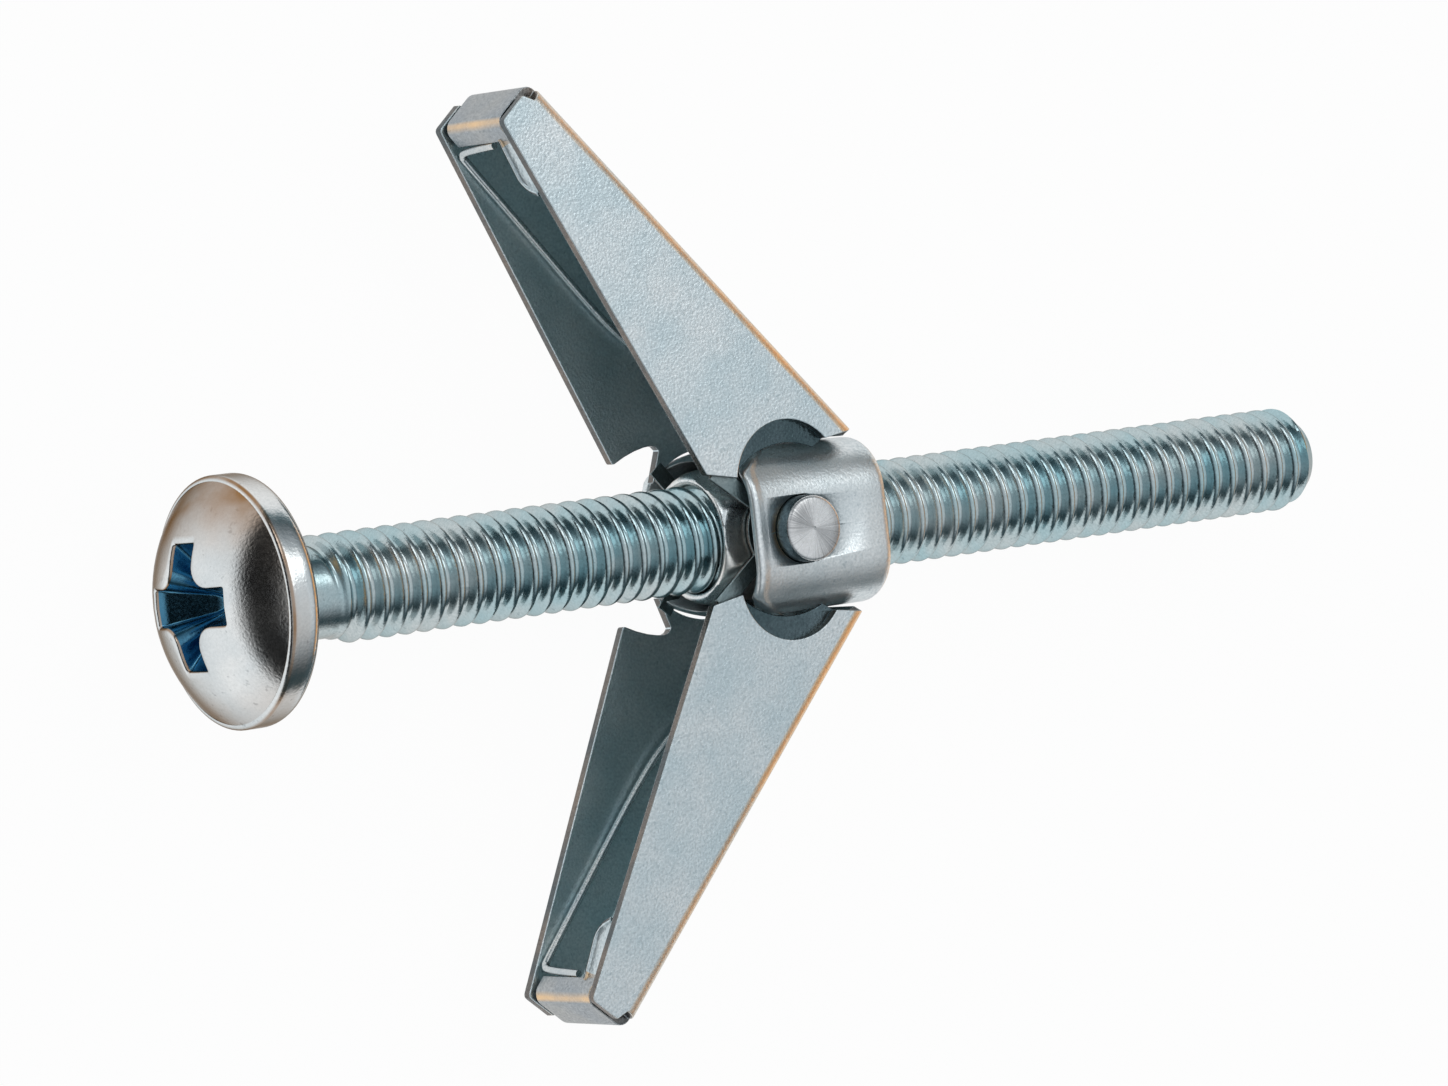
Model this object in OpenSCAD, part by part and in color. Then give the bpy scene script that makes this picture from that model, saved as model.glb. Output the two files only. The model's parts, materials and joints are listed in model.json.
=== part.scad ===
// Spring toggle bolt: a mushroom-head machine screw, a trunnion nut in a hub band, two sprung wings
// and the wire spring that opens them. Millimetres.
// Origin: on the screw axis at the bearing face under the head. +X runs to the tip, +Z is the hinge axis.

/* [Screw] */
// Outside diameter of the thread
thread_d = 6.35; // [5:0.05:8]
// Length from the bearing face to the tip
screw_length = 76.2; // [60:0.1:110]
// Length of the chamfer at the tip
tip_chamfer = 1.1; // [0.6:0.1:1.6]
// Depth of the chamfer at the tip
tip_cut = 0.85; // [0.4:0.05:1.1]
// Depth of the smooth neck under the head, below the thread
neck_cut = 0.42; // [0.2:0.02:0.6]
// Length of the smooth neck under the head
neck_l = 2.1; // [0.8:0.1:2.6]
// Length of the cone from the neck to the thread
neck_cone = 0.4; // [0.2:0.1:0.9]
// Diameter of the mushroom head
head_d = 14.4; // [12:0.1:18]
// Height of the rolled rim of the head
head_rim_h = 2.1; // [1.2:0.1:2.6]
// Height of the dome above the rim
head_dome_h = 2.2; // [1.6:0.1:3]
// Radius of the rolled edge of the head
head_edge_r = 0.3; // [0.2:0.1:0.6]
// Span of the cross recess at the top
recess_span = 7.2; // [5:0.1:8.5]
// Width of each recess arm
recess_arm_w = 1.8; // [1.2:0.1:2.2]
// Depth of the cross recess
recess_depth = 3.0; // [2:0.1:3.6]
// Span of the recess arms at the bottom
recess_foot = 2.6; // [1.6:0.1:3.2]
// Diameter of the core between the arms at the top
recess_core_d = 3.5; // [2.4:0.1:3.8]
// Diameter of the core between the arms at the bottom
recess_core_foot_d = 1.6; // [1:0.1:2]

/* [Trunnion nut] */
// Distance from the bearing face to the hinge axis
hinge_x = 34.3; // [32:0.1:60]
// Wall of the nut between the thread and its flats
nut_wall = 0.325; // [0.2:0.025:0.5]
// Length of the nut ahead of the hinge axis
nut_front = 5.8; // [5:0.1:7]
// Length of the nut behind the hinge axis
nut_back = 2.6; // [2.2:0.1:3.4]
// Chamfer on the nut's front corners
nut_chamfer = 0.7; // [0.3:0.05:0.9]
// Diameter of the trunnions
trunnion_d = 3.9; // [3:0.1:4.2]
// Height of the trunnion ends above the band
trunnion_proud = 0.9; // [0.6:0.1:1.6]
// Chamfer on the trunnion ends
trunnion_chamfer = 0.25; // [0.1:0.05:0.5]
// Radial clearance between thread and nut
thread_gap = 0.05; // [0.02:0.01:0.1]

/* [Hub band] */
// Clearance between the nut's corners and the band
band_nut_gap = 0.2; // [0.1:0.02:0.6]
// Wall of the band
band_wall = 0.6; // [0.4:0.05:0.7]
// Outside corner radius of the band
band_corner_r = 2.4; // [1.6:0.1:2.8]
// Radius of the bend into the band's end wall
band_bend_r = 0.7; // [0.6:0.05:1]
// Reach of the band ahead of the hinge axis
band_front = 3.2; // [2.8:0.1:3.4]
// Clearance between the spring's coil and the band's end wall
band_coil_gap = 1.1; // [0.3:0.1:2]
// Step from the band's top down to the curve that rounds its front corners about the hinge axis
band_front_step = 0.15; // [0.05:0.05:0.5]
// Radial gap around the screw in the band's end wall
band_screw_gap = 0.35; // [0.2:0.05:0.6]

/* [Wings] */
// Sheet thickness of the wings
sheet_t = 0.6; // [0.4:0.05:0.65]
// Angle between the web and the screw at rest
web_angle = 49; // [46:0.5:52]
// Distance from the hinge axis to the outside of the web
web_reach = 7.27; // [7.2:0.01:7.6]
// Distance from the hinge axis to the wing's tip along the web
wing_length = 30; // [24:0.5:31]
// Depth of the wing at its tip
tip_depth = 3.3; // [2.8:0.1:4]
// Outside width of the wing at its tip
tip_width = 7.2; // [6.4:0.1:8.4]
// Length of the lip folded back over the wing's open side
tip_lip = 1.5; // [1:0.1:2]
// Slit between the folded tip and each flange
tip_slit = 0.3; // [0.1:0.02:0.4]
// Outside radius of the tip's folds
tip_bend_r = 0.75; // [0.65:0.05:1]
// Length of the tab folded in from each flange near the tip
tab_l = 3.6; // [2:0.1:4.4]
// Reach of the tabs into the channel
tab_reach = 1.4; // [0.8:0.1:1.5]
// Distance from the wing's tip to the tabs
tab_from_tip = 3.2; // [2.6:0.1:4]
// Outside radius of the bends
bend_r = 0.9; // [0.6:0.05:1.2]
// Radius of the round notch that clears the band
notch_r = 3.67; // [3.4:0.01:3.8]
// Radius of the eyes on the trunnions
eye_r = 2.7; // [2.5:0.05:2.8]
// Width of the arm between eye and lobe
ear_w = 1.4; // [1.2:0.1:1.6]
// Thickness of the eyes and arms, coined thinner than the sheet
ear_t = 0.4; // [0.3:0.05:0.4]
// Radial clearance of the eyes on the trunnions
eye_gap = 0.05; // [0.03:0.01:0.1]
// Side clearance between stacked sheets
sheet_gap = 0.1; // [0.06:0.01:0.14]

/* [Spring] */
// Diameter of the spring wire
wire_d = 0.6; // [0.4:0.05:0.6]
// Turns around the screw
spring_turns = 2; // [1:1:3]
// Length of each leg along its wing, measured from the hinge
leg_reach = 26; // [16:0.5:26]
// Length of the hooked end of each leg
hook_l = 1.6; // [1:0.1:2.4]
// Clearance of the wire from the thread, the nut and the wings
wire_gap = 0.1; // [0.1:0.01:0.14]
// Clearance between turns of the coil
turn_gap = 0.15; // [0.1:0.05:0.3]

/* [Hidden] */
$fn = 64;
eps = 0.01;

// Screw
thread_r = thread_d / 2;
neck_r = thread_r - neck_cut;
head_r = head_d / 2;
head_h = head_rim_h + head_dome_h;
dome_r0 = head_r - head_edge_r;
dome_sphere_r = (dome_r0 * dome_r0 + head_dome_h * head_dome_h) / (2 * head_dome_h);

// Nut
bore_r = thread_r + thread_gap;
nut_af = 2 * (bore_r + nut_wall);
nut_corner_r = nut_af / 2 / cos(30);
trunnion_r = trunnion_d / 2;

// Stack of sheets along the hinge axis, from the nut's flat outwards
inner_ear_z = nut_af / 2 + sheet_gap;
outer_ear_z = inner_ear_z + sheet_t + sheet_gap;
band_half_z = outer_ear_z + sheet_t + sheet_gap + band_wall;
trunnion_end_z = band_half_z + trunnion_proud;

// Spring
wire_r = wire_d / 2;
coil_r = thread_r + wire_gap + wire_r;
coil_pitch = wire_d + turn_gap;
coil_l = coil_pitch * spring_turns;
coil_x0 = hinge_x + nut_back + wire_gap + wire_r;

// Hub band
band_half_y = max(nut_corner_r, coil_r + wire_r) + band_nut_gap + band_wall;
band_h = 2 * band_half_y;
band_back = coil_x0 + coil_l + wire_r + band_coil_gap + band_wall - hinge_x;
band_front_r = band_half_y - band_front_step;
band_hole_r = thread_r + band_screw_gap;
// Angle of the ears' room in the band's front, from the screw's forward direction
ear_room_angle = 118;
leg_slot_l = coil_l + 2 * wire_d;
leg_slot_w = 2.2;

// Wing, in its own frame: hinge at the origin, x along the web to the tip, y towards the web
wing_shift_z = (outer_ear_z - inner_ear_z) / 2;
hub_half_w = (outer_ear_z + inner_ear_z) / 2 + sheet_t;
tip_half_w = tip_width / 2;
taper_x = 6;
taper_angle = atan((hub_half_w - tip_half_w) / (wing_length - taper_x));
lobe = [6.74, -1.96];
lobe_end = [5.06, -0.64];
notch_centre = [2.22, 1.69];
horn_end = [2.04, 5.35];
web_start = 0.83;
tip_open_y = web_reach - tip_depth;
tip_cap_half = tip_half_w - sheet_t - tip_slit;
open_angle = atan2(tip_open_y - lobe[1], wing_length - lobe[0]);
ear_angle = atan2(lobe_end[1], lobe_end[0]);
ear_reach = norm(lobe_end) + ear_w;
tab_inset = sheet_t / 2;

// Spring legs along the webs, from where they leave the coil
leg_y = web_reach - sheet_t - wire_r - wire_gap;
leg_root = 1;
leg_steps = 8;
coil_steps = 16;

// Half width of the wing's outside at a distance along the web
function wing_half_w(x) = hub_half_w - (x - taper_x) * tan(taper_angle);

// A point of a wing's own plane, in the part's frame; side is 1 for the left wing, -1 for the right
function from_wing(p, side) = let (a = 180 - web_angle)
    [hinge_x + p[0] * cos(a) + p[1] * sin(a), side * (p[0] * sin(a) - p[1] * cos(a)), p[2]];

// Closed round tube along a path, with rings turned against the X axis
module tube(path, r, sides = 8) {
    last = len(path) - 1;
    function along(i) = let (d = path[min(i + 1, last)] - path[max(i - 1, 0)]) d / norm(d);
    function ring(i) = let (t = along(i), a = cross(t, [1, 0, 0]), n1 = a / norm(a), n2 = cross(t, n1))
        [for (k = [0:sides - 1]) path[i] + r * (cos(360 * k / sides) * n1 + sin(360 * k / sides) * n2)];
    points = [for (i = [0:last]) each ring(i)];
    walls = [for (i = [0:last - 1], k = [0:sides - 1]) let (m = (k + 1) % sides)
        [i * sides + k, i * sides + m, (i + 1) * sides + m, (i + 1) * sides + k]];
    ends = [[for (k = [sides - 1:-1:0]) k], [for (k = [0:sides - 1]) last * sides + k]];
    polyhedron(points, concat(walls, ends), convexity = 6);
}

// Cross recess, with arms that narrow towards the bottom
module cross_recess() {
    top = -head_h - eps;
    half = recess_span / 2;
    foot = recess_foot / 2;
    for (turn = [0, 90])
        rotate([turn, 0, 0])
            translate([0, 0, -recess_arm_w / 2])
                linear_extrude(recess_arm_w)
                    polygon([[top, -half], [top, half],
                        [top + recess_depth, foot], [top + recess_depth, -foot]]);
    translate([top, 0, 0])
        rotate([0, 90, 0])
            cylinder(h = recess_depth, d1 = recess_core_d, d2 = recess_core_foot_d);
}

module machine_screw() {
    color([0.74, 0.78, 0.8])
    difference() {
        union() {
            shank();
            // rolled rim
            turned_rim();
            // dome
            intersection() {
                translate([dome_sphere_r - head_h, 0, 0]) sphere(r = dome_sphere_r);
                translate([-head_h - 1, 0, 0])
                    rotate([0, 90, 0]) cylinder(h = head_dome_h + 1 + eps, r = head_r);
            }
        }
        cross_recess();
    }
}

// Smooth neck, threaded length at its outside diameter and the tip's chamfer
module shank() {
    thread_x = neck_l + neck_cone;
    rotate([0, 90, 0]) {
        cylinder(h = neck_l, r = neck_r);
        translate([0, 0, neck_l]) cylinder(h = neck_cone, r1 = neck_r, r2 = thread_r);
        translate([0, 0, thread_x]) cylinder(h = screw_length - tip_chamfer - thread_x, r = thread_r);
        translate([0, 0, screw_length - tip_chamfer])
            cylinder(h = tip_chamfer, r1 = thread_r, r2 = thread_r - tip_cut);
    }
}

// Rim of the head with both edges rolled
module turned_rim() {
    flat_h = head_rim_h - 2 * head_edge_r;
    core_r = head_r - head_edge_r;
    rotate([0, -90, 0]) {
        cylinder(h = head_rim_h, r = core_r);
        translate([0, 0, head_edge_r]) cylinder(h = flat_h, r = head_r);
        for (z = [head_edge_r, head_rim_h - head_edge_r])
            translate([0, 0, z]) rotate_extrude() translate([core_r, 0]) circle(r = head_edge_r);
    }
}

module trunnion_nut() {
    length = nut_front + nut_back;
    color([0.7, 0.74, 0.76])
    difference() {
        union() {
            intersection() {
                // hexagon with flats towards the wings' ears
                translate([hinge_x - nut_front, 0, 0])
                    rotate([0, 90, 0]) rotate([0, 0, 90]) cylinder(h = length, r = nut_corner_r, $fn = 6);
                // chamfered front corners
                translate([hinge_x - nut_front, 0, 0])
                    rotate([0, 90, 0]) {
                        cylinder(h = nut_chamfer, r1 = nut_corner_r - nut_chamfer, r2 = nut_corner_r + eps);
                        translate([0, 0, nut_chamfer]) cylinder(h = length, r = nut_corner_r + eps);
                    }
            }
            for (side = [0, 180])
                rotate([side, 0, 0]) translate([hinge_x, 0, 0]) {
                    h = trunnion_end_z - trunnion_chamfer;
                    cylinder(h = h, r = trunnion_r);
                    translate([0, 0, h])
                        cylinder(h = trunnion_chamfer, r1 = trunnion_r, r2 = trunnion_r - trunnion_chamfer);
                }
        }
        translate([hinge_x - nut_front - 1, 0, 0])
            rotate([0, 90, 0]) cylinder(h = length + 2, r = bore_r);
    }
}

// Rounded square across the screw, in the (z, y) plane
module band_section(inset) {
    half_z = band_half_z - inset;
    half_y = band_half_y - inset;
    r = band_corner_r - inset;
    square([2 * (half_z - r), 2 * half_y], center = true);
    square([2 * half_z, 2 * (half_y - r)], center = true);
    for (sz = [-1, 1], sy = [-1, 1])
        translate([sz * (half_z - r), sy * (half_y - r)]) circle(r = r);
}

// Bar with two round corners at its far end
module rounded_end(length, width, r) {
    square([length - r, width]);
    translate([0, r]) square([length, width - 2 * r]);
    for (y = [r, width - r])
        translate([length - r, y]) circle(r = r);
}

// Outside of the band, with a bend round its rear edge
module band_body() {
    length = band_front + band_back;
    intersection() {
        rotate([0, 90, 0]) linear_extrude(length) band_section(0);
        translate([0, -band_half_y, -band_half_z - 1])
            linear_extrude(2 * band_half_z + 2) rounded_end(length, band_h, band_bend_r);
        translate([0, band_half_y + 1, -band_half_z])
            rotate([90, 0, 0])
                linear_extrude(band_h + 2) rounded_end(length, 2 * band_half_z, band_bend_r);
    }
}

module hub_band() {
    color([0.78, 0.8, 0.82])
    difference() {
        translate([hinge_x - band_front, 0, 0]) band_body();
        // hollow, with an end wall left behind the spring
        translate([hinge_x - band_front - 1, 0, 0])
            rotate([0, 90, 0]) linear_extrude(band_front + band_back - band_wall + 1) band_section(band_wall);
        // way for the screw
        translate([hinge_x, 0, 0]) rotate([0, 90, 0]) cylinder(h = band_back + 1, r = band_hole_r);
        // holes for the trunnions
        translate([hinge_x, 0, -band_half_z - 1]) cylinder(h = 2 * band_half_z + 2, r = trunnion_r + eye_gap);
        // front corners rounded about the hinge, clear of the lobes
        translate([hinge_x, 0, -band_half_z - 1])
            linear_extrude(2 * band_half_z + 2)
                difference() {
                    translate([-band_h, -band_h]) square([band_h, 2 * band_h]);
                    circle(r = band_front_r);
                }
        // room for the arms of the ears where they leave the band
        ear_room = outer_ear_z + sheet_t + sheet_gap / 2;
        translate([hinge_x, 0, -ear_room])
            linear_extrude(2 * ear_room)
                polygon([[0, 0], band_h * [cos(ear_room_angle), sin(ear_room_angle)],
                    [-band_h, 0], band_h * [cos(ear_room_angle), -sin(ear_room_angle)]]);
        // slots for the spring's legs
        for (side = [-1, 1])
            translate([coil_x0 - wire_d, side * band_half_y / 2, -band_half_z + band_wall + eps])
                translate([0, side > 0 ? 0 : -band_half_y, 0])
                    cube([leg_slot_l, band_half_y, leg_slot_w]);
    }
}

// Outline of one flange
module flange_outline() {
    difference() {
        polygon([lobe, [wing_length, tip_open_y], [wing_length, web_reach],
            [web_start, web_reach], horn_end, lobe_end]);
        translate(notch_centre) circle(r = notch_r);
    }
}

// Trapezium of the wing seen against the web, inset by the sheet on both sides
module web_plan(inset) {
    polygon([for (p = [[-2, 1], [wing_length + 2, 1], [wing_length + 2, -1], [-2, -1]])
        [p[0], p[1] * (wing_half_w(p[0]) - inset)]]);
}

// Cuts the outside of a bend to its radius along one edge of the web
module bend_cut() {
    translate([taper_x, web_reach, hub_half_w])
        rotate([0, taper_angle, 0])
            translate([-wing_length, -bend_r, -bend_r])
                difference() {
                    cube([3 * wing_length, 2 * bend_r, 2 * bend_r]);
                    translate([-1, 0, 0]) rotate([0, 90, 0]) cylinder(h = 3 * wing_length + 2, r = bend_r);
                }
}

// Channel of the wing: web and two flanges folded from one sheet
module wing_channel() {
    difference() {
        intersection() {
            translate([0, 0, -hub_half_w * 2]) linear_extrude(hub_half_w * 4) flange_outline();
            rotate([-90, 0, 0]) translate([0, 0, -web_reach]) linear_extrude(2 * web_reach) web_plan(0);
        }
        rotate([-90, 0, 0]) translate([0, 0, -web_reach])
            linear_extrude(2 * web_reach - sheet_t) web_plan(sheet_t);
        bend_cut();
        mirror([0, 0, 1]) bend_cut();
        // the web leaves the flanges where it folds over the tip
        translate([wing_length - tip_bend_r, -web_reach, -tip_cap_half])
            cube([2 * tip_bend_r, 3 * web_reach, 2 * tip_cap_half]);
    }
}

// Section of the tip's folds, inset by the sheet
module tip_section(inset) {
    translate([wing_length - 2 * tip_lip, tip_open_y + inset])
        rounded_end(2 * tip_lip - inset, tip_depth - 2 * inset, tip_bend_r - inset);
}

// Tip of the web folded over the end, with a lip on the open side
module wing_tip() {
    translate([0, 0, -tip_cap_half])
        linear_extrude(2 * tip_cap_half)
            intersection() {
                difference() {
                    tip_section(0);
                    tip_section(sheet_t);
                }
                translate([wing_length - tip_lip, tip_open_y]) square([tip_lip, tip_depth]);
            }
}

// Tab folded in near the open edge of one flange, with a round corner away from the tip
module wing_tab() {
    inner_z = wing_half_w(wing_length - tab_from_tip - tab_l) - sheet_t;
    corner_r = tab_reach / 2;
    top_z = inner_z + sheet_t / 4;
    translate([wing_length - tab_from_tip, tip_open_y - tab_from_tip * tan(open_angle) + tab_inset, 0])
        rotate([0, 0, open_angle])
            rotate([-90, 0, 0])
                mirror([0, 1, 0])
                    linear_extrude(ear_t) {
                        translate([corner_r - tab_l, inner_z - tab_reach])
                            square([tab_l - corner_r, top_z - inner_z + tab_reach]);
                        translate([-tab_l, inner_z - corner_r]) square([tab_l, top_z - inner_z + corner_r]);
                        translate([corner_r - tab_l, inner_z - corner_r]) circle(r = corner_r);
                    }
}

// Eye and arm that carry one flange on its trunnion
module wing_ear(z) {
    translate([0, 0, z])
        linear_extrude(ear_t)
            difference() {
                union() {
                    circle(r = eye_r);
                    rotate(ear_angle) translate([0, -ear_w / 2]) square([ear_reach, ear_w]);
                }
                circle(r = trunnion_r + eye_gap);
            }
}

// One wing in its own frame
module wing() {
    translate([0, 0, wing_shift_z]) {
        wing_channel();
        wing_tip();
        wing_tab();
        mirror([0, 0, 1]) wing_tab();
    }
    wing_ear(outer_ear_z);
    wing_ear(-inner_ear_z - ear_t);
}

// The left wing's place; the right wing is the same pressing turned half round the screw
module placed_wing() {
    translate([hinge_x, 0, 0]) rotate([0, 0, 180 - web_angle]) mirror([0, 1, 0]) wing();
}

module left_wing() {
    color([0.72, 0.76, 0.78]) placed_wing();
}

module right_wing() {
    color([0.72, 0.76, 0.78]) rotate([180, 0, 0]) placed_wing();
}

module wire_spring() {
    color([0.6, 0.62, 0.64]) tube(spring_path, wire_r);
}

// Spring path: hooked end, left leg, turns around the screw, right leg, hooked end
function leg_z(x) = -(wing_half_w(x) - sheet_t - wing_shift_z - wire_r - wire_gap * 2);
function leg_point(i, side) = let (x = leg_root + (leg_reach - leg_root) * i / leg_steps)
    from_wing([x, leg_y, i == 0 ? -coil_r : max(leg_z(x), -coil_r)], side);
function hook(side) = from_wing([leg_reach + wire_d, leg_y, leg_z(leg_reach) + hook_l], side);
coil_points = [for (i = [0:coil_steps * spring_turns]) let (a = -90 - 360 * i / coil_steps)
    [coil_x0 + coil_pitch * i / coil_steps, coil_r * cos(a), coil_r * sin(a)]];
spring_path = concat(
    [hook(1)], [for (i = [leg_steps:-1:0]) leg_point(i, 1)],
    coil_points,
    [for (i = [0:leg_steps]) leg_point(i, -1)], [hook(-1)]);

machine_screw();
trunnion_nut();
hub_band();
wire_spring();
left_wing();
right_wing();
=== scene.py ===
import json
import math

import bmesh
import bpy
from mathutils import Matrix, Vector


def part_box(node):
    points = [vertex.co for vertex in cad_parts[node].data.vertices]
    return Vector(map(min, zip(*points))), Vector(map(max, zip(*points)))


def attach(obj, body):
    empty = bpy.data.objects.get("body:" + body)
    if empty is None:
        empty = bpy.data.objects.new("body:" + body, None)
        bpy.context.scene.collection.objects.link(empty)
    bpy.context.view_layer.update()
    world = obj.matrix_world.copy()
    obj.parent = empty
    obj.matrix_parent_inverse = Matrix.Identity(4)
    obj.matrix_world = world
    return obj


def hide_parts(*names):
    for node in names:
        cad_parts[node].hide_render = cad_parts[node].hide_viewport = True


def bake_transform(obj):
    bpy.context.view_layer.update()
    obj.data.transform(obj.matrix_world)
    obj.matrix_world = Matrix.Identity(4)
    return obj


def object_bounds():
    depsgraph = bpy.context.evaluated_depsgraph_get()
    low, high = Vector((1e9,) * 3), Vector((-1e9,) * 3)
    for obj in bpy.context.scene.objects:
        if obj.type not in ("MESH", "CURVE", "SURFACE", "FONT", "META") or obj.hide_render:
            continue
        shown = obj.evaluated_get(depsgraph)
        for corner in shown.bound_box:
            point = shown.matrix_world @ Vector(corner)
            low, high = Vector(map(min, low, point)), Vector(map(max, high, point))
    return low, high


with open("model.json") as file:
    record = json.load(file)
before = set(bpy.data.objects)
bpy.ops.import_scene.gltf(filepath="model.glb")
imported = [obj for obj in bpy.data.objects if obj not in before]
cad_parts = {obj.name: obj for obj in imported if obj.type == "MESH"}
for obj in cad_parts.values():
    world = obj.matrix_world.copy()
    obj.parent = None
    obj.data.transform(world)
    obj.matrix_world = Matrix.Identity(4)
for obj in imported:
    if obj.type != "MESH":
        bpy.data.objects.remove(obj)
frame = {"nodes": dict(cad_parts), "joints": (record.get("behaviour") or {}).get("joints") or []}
cadLow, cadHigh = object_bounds()
mm = 0.001
print("frame loaded:", len(frame["nodes"]), "nodes")


# Sizes that several pieces share, in millimetres, read from the frame
def highCorner(node):
    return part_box(node)[1] / mm


joint = {j["name"]: j for j in frame["joints"]}
hingeX = joint["left_wing_fold"]["pos_m"][0] / mm
screwHigh, bandHigh, nutHigh = [highCorner(n) for n in ("machine_screw", "hub_band", "trunnion_nut")]
ringCount = 104  # points round the screw; the outline of the cross recess has as many
webAngle = math.radians(131)  # from the screw's axis to an open wing


# Mesh helpers
class Solid:
    def __init__(self):
        self.verts = []
        self.faces = []

    def loft(self, rings, capFirst=False, capLast=False):
        base, count = len(self.verts), len(rings[0])
        for ring in rings:
            self.verts.extend(ring)
        for i in range(len(rings) - 1):
            a, b = base + i * count, base + (i + 1) * count
            for j in range(count):
                k = (j + 1) % count
                self.faces.append((a + j, a + k, b + k, b + j))
        last = base + (len(rings) - 1) * count
        if capFirst:
            self.faces.append(tuple(range(base + count - 1, base - 1, -1)))
        if capLast:
            self.faces.append(tuple(range(last, last + count)))

    def face(self, points):
        base = len(self.verts)
        self.verts.extend(points)
        self.faces.append(tuple(range(base, base + len(points))))

    def piece(self, name, materials, sharp=35, weld=1e-4):
        mesh = bpy.data.meshes.new(name)
        mesh.from_pydata([Vector(v) * mm for v in self.verts], [], self.faces)
        work = bmesh.new()
        work.from_mesh(mesh)
        bmesh.ops.remove_doubles(work, verts=work.verts, dist=weld * mm)
        bmesh.ops.dissolve_degenerate(work, edges=work.edges, dist=weld * mm)
        bmesh.ops.recalc_face_normals(work, faces=work.faces)
        for f in work.faces:
            f.smooth = True
        work.to_mesh(mesh)
        work.free()
        mesh.set_sharp_from_angle(angle=math.radians(sharp))
        made = bpy.data.objects.new(name, mesh)
        bpy.context.scene.collection.objects.link(made)
        for m in materials:
            mesh.materials.append(m)
        return made


def smooth(t):
    t = min(1, max(0, t))
    return t * t * (3 - 2 * t)


def mix(a, b, t):
    return a + (b - a) * t


def circleRing(x, r, count=ringCount):
    turns = [2 * math.pi * j / count for j in range(count)]
    return [(x, r * math.cos(a), r * math.sin(a)) for a in turns]


def arc(cx, cy, r, start, end, steps):
    angles = [math.radians(mix(start, end, i / steps)) for i in range(steps + 1)]
    return [(cx + r * math.cos(a), cy + r * math.sin(a)) for a in angles]


def settle(piece):
    # bakes the modifiers into the mesh
    shown = piece.evaluated_get(bpy.context.evaluated_depsgraph_get())
    baked = bpy.data.meshes.new_from_object(shown)
    piece.modifiers.clear()
    old = piece.data
    piece.data = baked
    bpy.data.meshes.remove(old)
    baked.name = piece.name


def drill(piece, cutters):
    for cutter in cutters:
        cut = piece.modifiers.new("drill", "BOOLEAN")
        cut.object = cutter
        cut.operation = "DIFFERENCE"
        cut.solver = "EXACT"
    settle(piece)
    for cutter in cutters:
        bpy.data.objects.remove(cutter)


# Shader maths: a socket that adds, subtracts and multiplies
class Wire:
    def __init__(self, tree, socket=None):
        self.tree = tree
        self.socket = socket

    def node(self, kind, settings=None, inputs=None, out=0):
        made = self.tree.nodes.new(kind)
        for key, value in (settings or {}).items():
            if key == "stops":
                self.fillRamp(made.color_ramp, value)
            else:
                setattr(made, key, value)
        for key, value in (inputs or {}).items():
            if isinstance(value, Wire):
                self.tree.links.new(value.socket, made.inputs[key])
            else:
                made.inputs[key].default_value = value
        return Wire(self.tree, made.outputs[out]) if len(made.outputs) else made

    @staticmethod
    def fillRamp(ramp, stops):
        while len(ramp.elements) < len(stops):
            ramp.elements.new(1)
        for element, (place, colour) in zip(ramp.elements, stops):
            element.position = place
            element.color = (*colour, 1)

    def math(self, operation, other, swap=False):
        first, second = (other, self) if swap else (self, other)
        return self.node("ShaderNodeMath", {"operation": operation}, {0: first, 1: second})

    def __add__(self, other):
        return self.math("ADD", other)

    def __sub__(self, other):
        return self.math("SUBTRACT", other)

    def __mul__(self, other):
        return self.math("MULTIPLY", other)

    def __rsub__(self, other):
        return self.math("SUBTRACT", other, True)

    __radd__ = __add__
    __rmul__ = __mul__

    def blend(self, first, second):
        # a colour between two, by this factor
        first, second = [c if isinstance(c, Wire) else (*c, 1) for c in (first, second)]
        return self.node("ShaderNodeMix", {"data_type": "RGBA"}, {0: self, 6: first, 7: second}, 2)

    def ramp(self, low, high):
        # stretches the span from low to high over 0 to 1
        return self.node("ShaderNodeMapRange", {}, {0: self, 1: low, 2: high, 3: 0.0, 4: 1.0})


# Zinc finishes
def split(vector):
    return [vector.node("ShaderNodeSeparateXYZ", {}, {0: vector}, k) for k in range(3)]


def paintedEdgeLight(start, place, cloud, look):
    # painted light: 1 where the surface's lean towards the axis is in the span, such as along a fold, and 0 on the
    # flats; it paints a warm highlight along folds and rims, and a painted shade round the head's dome edge
    nx, ny, nz = split(start.node("ShaderNodeTexCoord", out=1))
    if look["mirrored"]:
        ny = ny * split(place)[1].math("SIGN", 0.0)
    dx, dy, dz = look["paintedLightAxis"]
    lean = nx * dx + ny * dy + nz * dz
    a, b, c, d = look["paintedLightSpan"]
    fold = lean.ramp(a, b) * (1 - lean.ramp(c, d)) * (cloud * 0.5 + 0.5)
    if "paintedLightFade" in look:
        far, near = look["paintedLightFade"]
        fold = fold * (split(place)[1].math("ABSOLUTE", 0.0).ramp(far, near) * 0.7 + 0.3)
    return fold * look["paintedLightShare"]


def turnedLinesAndPaintedSheen(place, look):
    # painted sheen in light and dark sectors on a turned end face, with fine radial turning lines
    x, y, z = split(place)
    turn = (y - look["fanAt"][1]).math("ARCTAN2", x - look["fanAt"][0])
    # the sectors are a painted reflection, fixed on the face
    paintedSheen = (turn * 2.0 + look["paintedSheenTurn"]).math("COSINE", 0.0)
    lines = turn.node("ShaderNodeTexNoise", {"noise_dimensions": "1D"},
                      {"W": turn * look["fanLines"], "Scale": 1.0, "Detail": 3.0})
    return (paintedSheen * 0.35 + lines * 1.2 - 0.35).ramp(0.0, 1.0) * look["fanShare"]


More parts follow.
